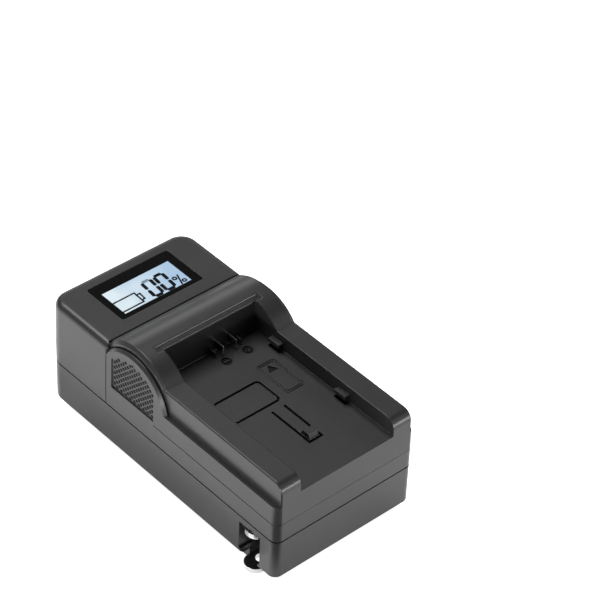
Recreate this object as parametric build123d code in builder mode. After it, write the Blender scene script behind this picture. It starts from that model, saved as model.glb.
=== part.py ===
from build123d import *

import os
from math import hypot, radians, sqrt, tan

# Camera battery charger with a display and a folding mains plug.
# Millimetres. X runs across the case, +Y points to the display end, the bay opens to -Y, +Z is up.
# The origin is the middle of the foot that the charger stands on.

# Case
case_length = 97.2
case_width = 49.0
front_corner = 2.4
rear_corner = 5.5
wall = 2.0
floor_thickness = 2.0
base_bevel = 1.2
parting_gap = 0.45
lip_height = 1.2
lip_thickness = 1.0
lip_clearance = 0.1

# Foot under the case, set in from its sides
foot_height = 4.0
foot_inset = 3.4
foot_corner = 4.0
foot_bevel = 0.6

# Heights of the case above the foot
lower_height = 14.2
crease_height = 20.2
ledge_height = 26.3
bay_floor_height = 28.5
wall_top_height = 33.7
display_top_height = 35.0
roll_axis_height = 23.1

# Upper mouldings
flank_draft = 1.0
wall_inset = 1.6
wall_nose = 3.2
wall_edge = 0.3
roll_edge = 0.9
ear_edge = 0.8
ear_groove_width = 0.5
ear_groove_depth = 0.7
crease_line = 0.25
crease_depth = 0.2
roll_setback = 10.9
roll_radius = 16.5
ear_radius = 14.8
display_length = 26.2
seam_gap = 0.3
seam_depth = 0.5
groove_width = 0.9
groove_depth = 0.7
display_edge = 2.0

# Battery bay
bay_width = 32.7
back_setback = 3.5
strip_overhang = 1.95
strip_overlap = 0.6
strip_depth = 1.7
strip_drop = 1.0
strip_riser = 0.3
lug_reach = 1.5
lug_thickness = 1.2
lug_length = 4.4
lug_lift = 1.4
lug_from_front = 20.0
lug_from_back = 9.6
tongue_width = 3.5
tongue_slot = 0.8
tongue_length = 14.7
tongue_from_front = 13.1
nub_length = 3.6
nub_width = 3.2
nub_height = 1.5
nub_lead = 0.5
nub_trail = 1.0
nub_setback = 0.3

# Side grille
grille_ahead = 9.45
grille_behind = 8.65
grille_base_height = 21.5
grille_margin = 2.6
grille_depth = 0.5
grille_pitch = 1.34
grille_rib = 0.28
grille_pit = 0.8
grille_reach = 0.5

# Frames engraved in the bay floor
label_width = 16.6
label_length = 10.1
label_x = -5.0
label_from_back = 21.6
label_corner = 1.6
label_line = 0.75
label_depth = 0.8
label_open = 0.9
arrow_width = 6.5
arrow_length = 13.4
arrow_x = 9.15
arrow_from_back = 19.2
arrow_corner = 1.1
arrow_line = 0.3
arrow_gap = 0.35
arrow_depth = 0.3
arrow_mark = 3.8
arrow_mark_depth = 0.5
arrow_mark_from_back = 15.6

# Round pockets of the polarity marks
pole_pocket = 3.2
pole_depth = 0.4
pole_places = (1.65, 9.2)
pole_from_back = 5.5

# Battery contacts
contact_thickness = 0.5
contact_height = 2.4
contact_lift = 1.0
contact_reach = 3.3
contact_tail = 1.6
contact_places = (2.3, 6.9)
contact_clearance = 0.1
guide_thickness = 0.6
guide_reach = 2.6
guide_height = 2.0
guide_places = (0.1, 9.1)

# Folding plug
plug_from_front = 10.3
blade_spacing = 12.7
blade_width = 6.35
blade_thickness = 1.5
blade_length = 16.5
blade_hole = 3.2
blade_hole_from_tip = 5.2
blade_tip_proud = 0.7
lower_blade_z = 1.9
rotor_width = 7.8
rotor_lift = 0.3
rotor_face = 7.6
rotor_corner = 1.5
rotor_core = 2.6
axle_diameter = 3.0
axle_clearance = 0.08
plug_side_gap = 0.3
plug_back_gap = 0.45
blade_gap = 0.35
well_wall = 1.5
notch_height = 11.7

# Plug contact springs
spring_width = 3.0
spring_thickness = 0.5
spring_height = 4.0
spring_offset = 3.2
spring_foot = 4.4
spring_button = 2.4
spring_button_clearance = 0.1

# Screws and bosses
screw_shank = 2.5
screw_length = 19.0
screw_head = 5.2
screw_head_height = 1.9
screw_recess = 2.4
screw_hole = 3.0
screw_head_clearance = 0.2
screw_pilot = 2.6
pilot_run = 1.0
screw_drive = 1.1
boss_lower = 7.0
boss_upper = 6.4
boss_joint_z = 14.0
screw_from_front = 11.1
screw_from_rear = 10.1
screw_from_side = 10.0
screw_from_well = 4.7
screw_from_board = 4.0
rear_boss_top = 28.0
boss_web = 1.6

# Main board and its posts
board_z = 8.0
board_thickness = 1.6
board_well_gap = 3.1
board_rear_gap = 2.6
board_side_gap = 2.5
board_corner = 4.0
board_hole_clearance = 0.4
post_width = 4.4

# Display stack
window_width = 28.6
window_length = 16.2
window_from_rear = 12.8
window_thickness = 1.2
window_corner = 0.8
window_opening_width = 24.6
window_opening_length = 12.0
lcd_from_rear = 13.9
lcd_width = 27.0
lcd_length = 14.4
lcd_thickness = 1.8
backlight_thickness = 2.2
display_board_width = 35.0
display_board_length = 19.0
display_post = 4.0
display_post_gap = 0.3
display_post_y = 7.0
ribbon_width = 8.0
ribbon_thickness = 0.4
ribbon_foot = 4.0
ribbon_setback = 7.7

# Levels and places that follow from the sizes above
parting_z = foot_height + lower_height
crease_z = foot_height + crease_height
ledge_z = foot_height + ledge_height
bay_floor_z = foot_height + bay_floor_height
wall_top_z = foot_height + wall_top_height
display_top_z = foot_height + display_top_height
roll_axis_z = foot_height + roll_axis_height
crest_z = roll_axis_z + roll_radius
front_y = -case_length / 2
rear_y = case_length / 2
core_half_width = case_width / 2 - wall_inset
seam_y = rear_y - display_length
roll_axis_y = seam_y - roll_setback
bay_back_y = roll_axis_y - back_setback
strip_front_y = bay_back_y - strip_overlap
strip_rear_y = bay_back_y + strip_depth
strip_half_length = bay_width / 2 + strip_overhang
lug_rows = (front_y + lug_from_front, bay_back_y - lug_from_back)
tongue_tip_y = front_y + tongue_from_front
tongue_root_y = tongue_tip_y + tongue_length
grille_front_y = roll_axis_y - grille_ahead
grille_rear_y = roll_axis_y + grille_behind
plug_y = front_y + plug_from_front
window_y = rear_y - window_from_rear
lcd_y = rear_y - lcd_from_rear
ribbon_y = lcd_y - ribbon_setback
bay_ceiling_z = bay_floor_z - floor_thickness
roll_start_y = roll_axis_y - sqrt(roll_radius**2 - (wall_top_z - roll_axis_z) ** 2)
nose_z = wall_top_z - wall_nose
nose_y = front_y + (nose_z - crease_z) * tan(radians(flank_draft))
ear_foot_y = roll_axis_y - sqrt(ear_radius**2 - (ledge_z - roll_axis_z) ** 2)
board_top_z = board_z + board_thickness

pivot_x = -case_width / 2 - blade_tip_proud + blade_length + rotor_face
pivot_z = lower_blade_z + blade_spacing / 2
rotor_reach = pivot_z - rotor_lift
well_radius = rotor_reach + plug_back_gap
well_inner = rotor_width + 2 * plug_side_gap
well_outer = well_inner + 2 * well_wall
well_roof_z = pivot_z + well_radius
well_end_x = pivot_x + well_radius
well_rear_y = plug_y + well_outer / 2
notch_z = foot_height + notch_height
sill_z = foot_height + floor_thickness
swing_x = pivot_x - hypot(rotor_face, rotor_reach) - plug_back_gap
blade_slot = blade_width + 2 * blade_gap

board_front_y = well_rear_y + board_well_gap
board_rear_y = rear_y - wall - board_rear_gap
board_half_width = case_width / 2 - wall - board_side_gap
front_screws = (
    (well_end_x + well_wall + screw_from_well, front_y + screw_from_front),
    (-0.2143 * case_width, board_front_y + screw_from_board),
)
rear_screws = (
    (screw_from_side - case_width / 2, rear_y - screw_from_rear),
    (case_width / 2 - screw_from_side, rear_y - screw_from_rear),
)
post_x = 0.2653 * case_width
post_places = (
    (-post_x, -0.144 * case_length),
    (post_x, -0.2675 * case_length),
    (-post_x, 0.288 * case_length),
    (post_x, 0.288 * case_length),
)

pilot_depth = screw_recess + screw_length + pilot_run - boss_joint_z

lcd_top_z = display_top_z - wall
backlight_top_z = lcd_top_z - lcd_thickness
display_board_top_z = backlight_top_z - backlight_thickness
display_board_z = display_board_top_z - board_thickness
display_post_x = lcd_width / 2 + display_post_gap + display_post / 2


def circle_z(radius, y):
    return roll_axis_z + sqrt(radius**2 - (y - roll_axis_y) ** 2)


def case_outline(inset):
    with BuildSketch(mode=Mode.PRIVATE) as outline:
        Rectangle(case_width - 2 * inset, case_length - 2 * inset)
        fillet(outline.vertices().group_by(Axis.Y)[0], max(front_corner - inset, front_corner / 4))
        fillet(outline.vertices().sort_by(Axis.Y)[-2:], rear_corner - inset)
    return outline.sketch


outer_outline = case_outline(0)
inner_outline = case_outline(wall)
lip_outline = case_outline(wall - lip_thickness)
rebate_outline = case_outline(wall - lip_thickness - lip_clearance)

os.makedirs("parts", exist_ok=True)


def save(piece, name):
    piece.part.label = name
    export_step(piece.part, f"parts/{name}.step")


# Lower case: tray with a hollow foot, the plug well, screw bosses and board posts
with BuildPart() as lower_case:
    with BuildSketch(Plane.XY.offset(foot_height)):
        add(outer_outline)
    extrude(amount=lower_height - parting_gap)
    chamfer(lower_case.faces().sort_by(Axis.Z)[0].edges(), base_bevel)
    with BuildSketch(Plane.XY.offset(parting_z - parting_gap)):
        add(lip_outline)
    extrude(amount=parting_gap + lip_height)
    with BuildSketch():
        RectangleRounded(case_width - 2 * foot_inset, case_length - 2 * foot_inset, foot_corner)
    extrude(amount=foot_height)
    chamfer(lower_case.faces().sort_by(Axis.Z)[0].edges(), foot_bevel)
    with BuildSketch(Plane.XY.offset(foot_height + floor_thickness)):
        add(inner_outline)
    extrude(amount=lower_height + lip_height, mode=Mode.SUBTRACT)
    with BuildSketch(Plane.XY.offset(floor_thickness)):
        RectangleRounded(
            case_width - 2 * foot_inset - 2 * wall,
            case_length - 2 * foot_inset - 2 * wall,
            foot_corner - wall,
        )
    extrude(amount=foot_height, mode=Mode.SUBTRACT)

    # Posts for the board
    with BuildSketch(Plane.XY.offset(floor_thickness / 2)):
        with Locations(*post_places):
            Rectangle(post_width, post_width)
    extrude(amount=board_z - floor_thickness / 2)

    # Screw bosses
    with BuildSketch():
        with Locations(*front_screws, *rear_screws):
            Rectangle(boss_lower, boss_lower)
    extrude(amount=boss_joint_z)

    # Walls of the plug well, from the left side to behind the rotor
    well_left_x = -case_width / 2 + wall / 2
    foot_left_x = -case_width / 2 + foot_inset
    well_right_x = well_end_x + well_wall
    with BuildSketch(Plane.XY.offset(foot_height + base_bevel)):
        with Locations(((well_left_x + well_right_x) / 2, plug_y)):
            Rectangle(well_right_x - well_left_x, well_outer)
    extrude(amount=parting_z - foot_height - base_bevel)
    with BuildSketch(Plane.XY.offset(floor_thickness / 2)):
        with Locations(((foot_left_x + wall + well_right_x) / 2, plug_y)):
            Rectangle(well_right_x - foot_left_x - wall, well_outer)
    extrude(amount=foot_height + base_bevel)

    # Room for the rotor and the blades, open below and to the left
    with BuildSketch(Plane.XZ.offset(-plug_y)):
        with Locations((pivot_x, pivot_z)):
            Circle(well_radius)
        with Locations(((pivot_x - case_width / 2 + wall) / 2, (sill_z + well_roof_z) / 2)):
            Rectangle(pivot_x + case_width / 2 - wall, well_roof_z - sill_z)
        with Locations(((swing_x + well_end_x) / 2, (pivot_z - foot_height) / 2)):
            Rectangle(well_end_x - swing_x, pivot_z + foot_height)
        with Locations((-case_width / 2, (sill_z + notch_z) / 2)):
            Rectangle(4 * wall, notch_z - sill_z)
    extrude(amount=well_inner / 2, both=True, mode=Mode.SUBTRACT)
    with BuildSketch(Plane.XZ.offset(-plug_y)):
        with Locations(((pivot_x - case_width / 2 - wall) / 2, sill_z / 2)):
            Rectangle(pivot_x + case_width / 2 + wall, sill_z + plug_side_gap)
    extrude(amount=blade_slot / 2, both=True, mode=Mode.SUBTRACT)

    # Axle seat, and windows for the plug contact springs
    with BuildSketch(Plane.XZ.offset(-plug_y)):
        with Locations((pivot_x, pivot_z)):
            Circle(axle_diameter / 2)
    extrude(amount=well_outer / 2, both=True, mode=Mode.SUBTRACT)
    with BuildSketch(Plane.XZ.offset(-plug_y)):
        with Locations((pivot_x, board_top_z + spring_height / 2)):
            with GridLocations(2 * spring_offset, 1, 2, 1):
                Rectangle(
                    spring_button + 2 * spring_button_clearance,
                    spring_button + 2 * spring_button_clearance,
                )
    extrude(amount=-well_outer, mode=Mode.SUBTRACT)

    # Screw holes with recessed heads
    with Locations(*[(x, y, 0) for x, y in (*front_screws, *rear_screws)]):
        Cylinder(
            screw_head / 2 + screw_head_clearance,
            screw_recess,
            align=(Align.CENTER, Align.CENTER, Align.MIN),
            mode=Mode.SUBTRACT,
        )
        Cylinder(
            screw_hole / 2,
            boss_joint_z,
            align=(Align.CENTER, Align.CENTER, Align.MIN),
            mode=Mode.SUBTRACT,
        )
save(lower_case, "lower_case")

# Outer skin of the front moulding: flanks that rise into the round ears
with BuildPart() as flank_skin:
    with BuildSketch(Plane.XY.offset(parting_z)):
        add(outer_outline)
    extrude(amount=crease_z - parting_z)
    with BuildSketch(Plane.XY.offset(crease_z)):
        add(outer_outline)
    extrude(amount=crest_z - crease_z, taper=flank_draft)
    with BuildSketch(Plane.YZ):
        with BuildLine():
            Polyline(
                (ear_foot_y, ledge_z),
                (front_y - wall, ledge_z),
                (front_y - wall, parting_z),
                (seam_y, parting_z),
                (seam_y, circle_z(ear_radius, seam_y)),
            )
            ThreePointArc(
                (seam_y, circle_z(ear_radius, seam_y)),
                (roll_axis_y, roll_axis_z + ear_radius),
                (ear_foot_y, ledge_z),
            )
        make_face()
    extrude(amount=case_width, both=True, mode=Mode.INTERSECT)
    ear_rims = flank_skin.edges().filter_by(GeomType.LINE, reverse=True).filter_by(
        lambda edge: edge.center().Z > ledge_z + wall and abs(edge.center().X) > core_half_width)
    chamfer(ear_rims, ear_edge)

    # Line round the flanks ahead of the grilles, where their draft begins
    with BuildSketch(Plane.XY.offset(crease_z - crease_line / 2)):
        add(outer_outline)
        add(case_outline(crease_depth), mode=Mode.SUBTRACT)
        with Locations((0, grille_front_y + case_length / 2)):
            Rectangle(2 * case_width, case_length, mode=Mode.SUBTRACT)
    extrude(amount=crease_line, mode=Mode.SUBTRACT)

# Bay walls with rounded noses
with BuildPart() as bay_walls:
    with BuildSketch(Plane.YZ):
        with BuildLine():
            Line((front_y, crease_z), (nose_y, nose_z))
            CenterArc((nose_y + wall_nose, nose_z), wall_nose, 90, 90)
            Polyline(
                (nose_y + wall_nose, wall_top_z),
                (roll_axis_y, wall_top_z),
                (roll_axis_y, crease_z),
                (front_y, crease_z),
            )
        make_face()
    extrude(amount=core_half_width, both=True)
    wall_rims = bay_walls.faces().filter_by(Axis.X).edges().filter_by(
        lambda edge: edge.center().Z > crease_z + wall_edge and edge.center().Y < roll_axis_y - wall_edge)
    chamfer(wall_rims, wall_edge)

# The roll behind the bay
with BuildPart() as bay_roll:
    with BuildSketch(Plane.YZ):
        with BuildLine():
            ThreePointArc(
                (roll_start_y, wall_top_z),
                (roll_axis_y, crest_z),
                (seam_y, circle_z(roll_radius, seam_y)),
            )
            Polyline(
                (seam_y, circle_z(roll_radius, seam_y)),
                (seam_y, crease_z),
                (roll_start_y, crease_z),
                (roll_start_y, wall_top_z),
            )
        make_face()
    extrude(amount=core_half_width, both=True)
    chamfer(bay_roll.edges().filter_by(GeomType.CIRCLE), roll_edge)

# Front upper moulding: skin, walls and roll, hollowed, with the battery bay
with BuildPart() as bay_housing:
    add(flank_skin.part)
    add(bay_walls.part)
    add(bay_roll.part)

    # Hollow inside, open to the lower case and to the display moulding
    with BuildSketch(Plane.XY.offset(parting_z)):
        add(inner_outline)
    extrude(amount=ledge_z - wall - parting_z, mode=Mode.SUBTRACT)
    with BuildSketch(Plane.XY.offset(parting_z)):
        add(rebate_outline)
    extrude(amount=lip_height + lip_clearance, mode=Mode.SUBTRACT)
    hollow_radius = roll_radius - wall
    hollow_start = bay_back_y + wall
    with BuildSketch(Plane.YZ):
        with BuildLine():
            Polyline(
                (hollow_start, circle_z(hollow_radius, hollow_start)),
                (hollow_start, bay_ceiling_z),
                (nose_y + wall, bay_ceiling_z),
                (nose_y + wall, crease_z),
                (seam_y, crease_z),
                (seam_y, circle_z(hollow_radius, seam_y)),
            )
            ThreePointArc(
                (seam_y, circle_z(hollow_radius, seam_y)),
                (roll_axis_y + wall, circle_z(hollow_radius, roll_axis_y + wall)),
                (hollow_start, circle_z(hollow_radius, hollow_start)),
            )
        make_face()
    extrude(amount=core_half_width - wall, both=True, mode=Mode.SUBTRACT)

    # The bay, open at the front, and the sloped strip over its back wall
    bay_length = bay_back_y - front_y + wall
    with BuildSketch(Plane.XY.offset(bay_floor_z)):
        with Locations((0, bay_back_y - bay_length / 2)):
            Rectangle(bay_width, bay_length)
    extrude(amount=crest_z - bay_floor_z, mode=Mode.SUBTRACT)
    strip_z = crest_z - strip_drop
    with BuildSketch(Plane.YZ):
        with BuildLine():
            Polyline(
                (strip_front_y, strip_z),
                (bay_back_y, strip_z),
                (strip_rear_y, circle_z(roll_radius, strip_rear_y) - strip_riser),
                (strip_rear_y, crest_z + wall),
                (strip_front_y, crest_z + wall),
                close=True,
            )
        make_face()
    extrude(amount=strip_half_length, both=True, mode=Mode.SUBTRACT)

    # Grooves between the ears and the ends of the roll
    for side in (-1, 1):
        with BuildSketch(Plane.YZ.offset(side * core_half_width)):
            with Locations((roll_axis_y, roll_axis_z)):
                Circle(ear_radius + ear_groove_depth)
                Circle(ear_radius - ear_groove_depth, mode=Mode.SUBTRACT)
            with Locations((roll_axis_y, ledge_z - case_width / 2)):
                Rectangle(case_length, case_width, mode=Mode.SUBTRACT)
        extrude(amount=side * ear_groove_width, mode=Mode.SUBTRACT)

    # Lugs that hold the battery down, with shut-off holes in the floor under them
    lug_x = bay_width / 2 - lug_reach / 2
    lug_centres = [(side * lug_x, row) for side in (-1, 1) for row in lug_rows]
    with BuildSketch(Plane.XY.offset(bay_ceiling_z)):
        with Locations(*lug_centres):
            Rectangle(lug_reach, lug_length)
    extrude(amount=floor_thickness, mode=Mode.SUBTRACT)
    with BuildSketch(Plane.XY.offset(bay_floor_z + lug_lift)):
        with Locations(*lug_centres):
            Rectangle(lug_reach, lug_length)
    extrude(amount=lug_thickness)

    # Spring tongue cut free in the floor, with its nub
    with BuildSketch(Plane.XY.offset(bay_ceiling_z)):
        with Locations((0, (tongue_root_y + tongue_tip_y - tongue_slot) / 2)):
            Rectangle(tongue_width + 2 * tongue_slot, tongue_length + tongue_slot)
        with Locations((0, (tongue_root_y + tongue_tip_y) / 2)):
            Rectangle(tongue_width, tongue_length, mode=Mode.SUBTRACT)
    extrude(amount=floor_thickness, mode=Mode.SUBTRACT)
    with BuildSketch(Plane.YZ):
        with BuildLine():
            nub_front = tongue_tip_y + nub_setback
            Polyline(
                (nub_front, bay_floor_z),
                (nub_front + nub_lead, bay_floor_z + nub_height),
                (nub_front + nub_length - nub_trail, bay_floor_z + nub_height),
                (nub_front + nub_length, bay_floor_z),
                close=True,
            )
        make_face()
    extrude(amount=nub_width / 2, both=True)

    # Label frame, open to the left, and the double frame round the arrow
    with BuildSketch(Plane.XY.offset(bay_floor_z)):
        with Locations((label_x, bay_back_y - label_from_back)):
            RectangleRounded(label_width, label_length, label_corner)
            RectangleRounded(
                label_width - 2 * label_line,
                label_length - 2 * label_line,
                label_corner - label_line,
                mode=Mode.SUBTRACT,
            )
        with Locations((label_x - label_width / 2, bay_back_y - label_from_back)):
            Rectangle(2 * label_open, label_length, mode=Mode.SUBTRACT)
    extrude(amount=-label_depth, mode=Mode.SUBTRACT)
    for inset in (0, arrow_line + arrow_gap):
        with BuildSketch(Plane.XY.offset(bay_floor_z)):
            with Locations((arrow_x, bay_back_y - arrow_from_back)):
                RectangleRounded(arrow_width - 2 * inset, arrow_length - 2 * inset, arrow_corner - inset)
                RectangleRounded(
                    arrow_width - 2 * inset - 2 * arrow_line,
                    arrow_length - 2 * inset - 2 * arrow_line,
                    arrow_corner - inset - arrow_line,
                    mode=Mode.SUBTRACT,
                )
        extrude(amount=-arrow_depth, mode=Mode.SUBTRACT)
    with BuildSketch(Plane.XY.offset(bay_floor_z)):
        with Locations((arrow_x, bay_back_y - arrow_mark_from_back)):
            RegularPolygon(arrow_mark / 2, 3, rotation=90)
    extrude(amount=-arrow_mark_depth, mode=Mode.SUBTRACT)
    with BuildSketch(Plane.XY.offset(bay_floor_z)):
        with Locations(*[(x, bay_back_y - pole_from_back) for x in pole_places]):
            Circle(pole_pocket / 2)
    extrude(amount=-pole_depth, mode=Mode.SUBTRACT)

    # Guides beside the contacts, and the slots that the contacts pass through
    with BuildSketch(Plane.XY.offset(bay_floor_z)):
        with Locations(*[(x, bay_back_y - guide_reach / 2) for x in guide_places]):
            Rectangle(guide_thickness, guide_reach)
    extrude(amount=guide_height)
    with BuildSketch(Plane.XZ.offset(-bay_back_y)):
        with Locations(*[(x, bay_floor_z + contact_lift + contact_height / 2) for x in contact_places]):
            Rectangle(contact_thickness + 2 * contact_clearance, contact_height + 2 * contact_clearance)
    extrude(amount=-wall, mode=Mode.SUBTRACT)

    # Sunk panels of the side grilles
    grille_radius = ear_radius - grille_margin
    grille_z = foot_height + grille_base_height
    grille_hole = grille_pitch - grille_rib
    grille_step = grille_pitch / sqrt(2)
    grille_mesh = []
    for row in range(round(2 * grille_radius / grille_step)):
        z = grille_z + (row + 1) * grille_step
        for column in range(-row % 2, round((grille_rear_y - grille_front_y) / grille_step), 2):
            y = grille_front_y + (column + 1) * grille_step
            fits = hypot(y - roll_axis_y, z - roll_axis_z) < grille_radius - grille_reach
            if fits and y < grille_rear_y - grille_reach:
                grille_mesh.append((y, z))
    for side in (-1, 1):
        with BuildSketch(Plane.YZ.offset(side * (case_width / 2 - grille_depth))):
            with BuildLine():
                Polyline(
                    (grille_front_y, circle_z(grille_radius, grille_front_y)),
                    (grille_front_y, grille_z),
                    (grille_rear_y, grille_z),
                    (grille_rear_y, circle_z(grille_radius, grille_rear_y)),
                )
                ThreePointArc(
                    (grille_rear_y, circle_z(grille_radius, grille_rear_y)),
                    (roll_axis_y, roll_axis_z + grille_radius),
                    (grille_front_y, circle_z(grille_radius, grille_front_y)),
                )
            make_face()
        extrude(amount=side * 2 * grille_depth, mode=Mode.SUBTRACT)
        panel_x = side * (case_width / 2 - grille_depth)
        pit_points = [(panel_x, y, z) for y, z in grille_mesh]
        with Locations(*[Plane(point, x_dir=(0, 1, 1), z_dir=(0, -side, side)) for point in pit_points]):
            Wedge(
                grille_hole,
                grille_pit,
                grille_hole,
                grille_hole / 2,
                grille_hole / 2,
                grille_hole / 2,
                grille_hole / 2,
                align=(Align.CENTER, Align.MIN, Align.CENTER),
                mode=Mode.SUBTRACT,
            )

    # Screw bosses under the bay floor
    with BuildSketch(Plane.XY.offset(boss_joint_z)):
        with Locations(*front_screws):
            Rectangle(boss_upper, boss_upper)
    extrude(amount=bay_ceiling_z + floor_thickness / 2 - boss_joint_z)
    with BuildSketch(Plane.XY.offset(boss_joint_z)):
        with Locations(*front_screws):
            Circle(screw_pilot / 2)
    extrude(amount=pilot_depth, mode=Mode.SUBTRACT)
save(bay_housing, "bay_housing")

# Rear upper moulding with the display frame
with BuildPart() as display_housing:
    with BuildSketch(Plane.XY.offset(parting_z)):
        add(outer_outline)
    extrude(amount=crease_z - parting_z)
    with BuildSketch(Plane.XY.offset(crease_z)):
        add(outer_outline)
    extrude(amount=display_top_z - crease_z, taper=flank_draft)
    with BuildSketch(Plane.XY.offset(parting_z)):
        with Locations((0, (seam_y + front_y) / 2)):
            Rectangle(2 * case_width, seam_y - front_y)
    extrude(amount=display_top_z - parting_z, mode=Mode.SUBTRACT)
    top_edges = display_housing.faces().sort_by(Axis.Z)[-1].edges().sort_by(Axis.Y)
    fillet(top_edges[1:], display_edge)
    with BuildSketch(Plane.XZ.offset(-seam_y)):
        with Locations((0, display_top_z)):
            Rectangle(2 * case_width, 2 * case_width)
        with Locations((0, display_top_z - seam_depth - case_width / 2)):
            RectangleRounded(
                case_width - 2 * seam_depth, case_width, display_edge - seam_depth, mode=Mode.SUBTRACT)
    extrude(amount=-seam_gap, mode=Mode.SUBTRACT)
    with BuildSketch(Plane.XY.offset(display_top_z - groove_depth)):
        with Locations((0, seam_y + groove_width / 2)):
            Rectangle(2 * core_half_width, groove_width)
    extrude(amount=groove_depth, mode=Mode.SUBTRACT)
    with BuildSketch(Plane.XY.offset(parting_z)):
        add(inner_outline)
    extrude(amount=display_top_z - wall - parting_z, mode=Mode.SUBTRACT)
    with BuildSketch(Plane.XY.offset(parting_z)):
        add(rebate_outline)
    extrude(amount=lip_height + lip_clearance, mode=Mode.SUBTRACT)

    # Seat of the window and the opening over the display
    with BuildSketch(Plane.XY.offset(display_top_z - window_thickness)):
        with Locations((0, window_y)):
            RectangleRounded(window_width, window_length, window_corner)
    extrude(amount=window_thickness, mode=Mode.SUBTRACT)
    with BuildSketch(Plane.XY.offset(lcd_top_z)):
        with Locations((0, lcd_y)):
            Rectangle(window_opening_width, window_opening_length)
    extrude(amount=wall, mode=Mode.SUBTRACT)

    # Posts that carry the display board
    with BuildSketch(Plane.XY.offset(display_board_top_z)):
        with Locations((0, lcd_y)):
            with GridLocations(2 * display_post_x, 2 * display_post_y, 2, 2):
                Rectangle(display_post, display_post)
    extrude(amount=lcd_top_z + wall / 4 - display_board_top_z)

    # Screw bosses, webbed to the side walls
    with BuildSketch(Plane.XY.offset(boss_joint_z)):
        with Locations(*rear_screws):
            Rectangle(boss_upper, boss_upper)
    extrude(amount=rear_boss_top - boss_joint_z)
    with BuildSketch(Plane.XY.offset(parting_z + 2 * lip_height)):
        for x, y in rear_screws:
            side = 1 if x > 0 else -1
            web_end = side * (case_width / 2 - wall / 2)
            with Locations(((x + web_end) / 2, y)):
                Rectangle(abs(web_end - x), boss_web)
    extrude(amount=rear_boss_top - parting_z - 2 * lip_height)
    with BuildSketch(Plane.XY.offset(boss_joint_z)):
        with Locations(*rear_screws):
            Circle(screw_pilot / 2)
    extrude(amount=pilot_depth, mode=Mode.SUBTRACT)
save(display_housing, "display_housing")

# Display stack: window, display, backlight and board
with BuildPart() as display_window:
    with BuildSketch(Plane.XY.offset(display_top_z - window_thickness)):
        with Locations((0, window_y)):
            RectangleRounded(window_width, window_length, window_corner)
    extrude(amount=window_thickness)
save(display_window, "display_window")

with BuildPart() as lcd_panel:
    with BuildSketch(Plane.XY.offset(backlight_top_z)):
        with Locations((0, lcd_y)):
            Rectangle(lcd_width, lcd_length)
    extrude(amount=lcd_thickness)
save(lcd_panel, "lcd_panel")

with BuildPart() as lcd_backlight:
    with BuildSketch(Plane.XY.offset(display_board_top_z)):
        with Locations((0, lcd_y)):
            Rectangle(lcd_width, lcd_length)
    extrude(amount=backlight_thickness)
save(lcd_backlight, "lcd_backlight")

with BuildPart() as display_board:
    with BuildSketch(Plane.XY.offset(display_board_z)):
        with Locations((0, lcd_y)):
            Rectangle(display_board_width, display_board_length)
    extrude(amount=board_thickness)
save(display_board, "display_board")

# Flat ribbon from the display board down to the main board
with BuildPart() as display_ribbon:
    with BuildSketch(Plane.YZ):
        with Locations((ribbon_y, (board_top_z + display_board_z) / 2)):
            Rectangle(ribbon_thickness, display_board_z - board_top_z)
        for level in (board_top_z + ribbon_thickness / 2, display_board_z - ribbon_thickness / 2):
            with Locations((ribbon_y + ribbon_foot / 2, level)):
                Rectangle(ribbon_foot, ribbon_thickness)
    extrude(amount=ribbon_width / 2, both=True)
save(display_ribbon, "display_ribbon")

# Main board on its posts, with holes for the screw bosses
with BuildPart() as main_board:
    with BuildSketch(Plane.XY.offset(board_z)):
        with Locations((0, (board_front_y + board_rear_y) / 2)):
            RectangleRounded(2 * board_half_width, board_rear_y - board_front_y, board_corner)
        with Locations(front_screws[1], *rear_screws):
            Rectangle(
                boss_lower + 2 * board_hole_clearance,
                boss_lower + 2 * board_hole_clearance,
                mode=Mode.SUBTRACT,
            )
    extrude(amount=board_thickness)
save(main_board, "main_board")


# Sizes of the moulded blocks, and places one behind the other along the board
part_gap = 1.6
x_capacitor_size = (6.0, 11.0, 10.5)
bridge_size = (8.4, 6.4, 3.2)
x_capacitor_place = (0.03061 * case_width, well_rear_y + spring_foot + part_gap + x_capacitor_size[1] / 2)
bridge_y = front_screws[1][1] + boss_lower / 2 + part_gap + bridge_size[1] / 2
bridge_place = (-0.1837 * case_width, bridge_y)

# Transformer: ferrite frame with a centre leg through the wound bobbin
core_depth = 5.6
core_width = 17.0
core_height = 15.0
core_leg = 3.0
core_lift = 1.6
bobbin_width = 15.0
bobbin_drum = 10.6
bobbin_flange = 1.2
centre_leg = 5.0
transformer_y = bridge_y + bridge_size[1] / 2 + part_gap + core_width / 2
transformer_place = (-0.1633 * case_width, transformer_y)
with BuildPart() as transformer_core:
    core_base_z = board_top_z + core_lift
    with BuildSketch(Plane.YZ.offset(transformer_place[0])):
        with Locations((transformer_place[1], core_base_z + core_height / 2)):
            Rectangle(core_width, core_height)
            Rectangle(core_width - 2 * core_leg, core_height - 2 * core_leg, mode=Mode.SUBTRACT)
            Rectangle(centre_leg, core_height - core_leg)
    extrude(amount=core_depth / 2, both=True)
save(transformer_core, "transformer_core")

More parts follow.
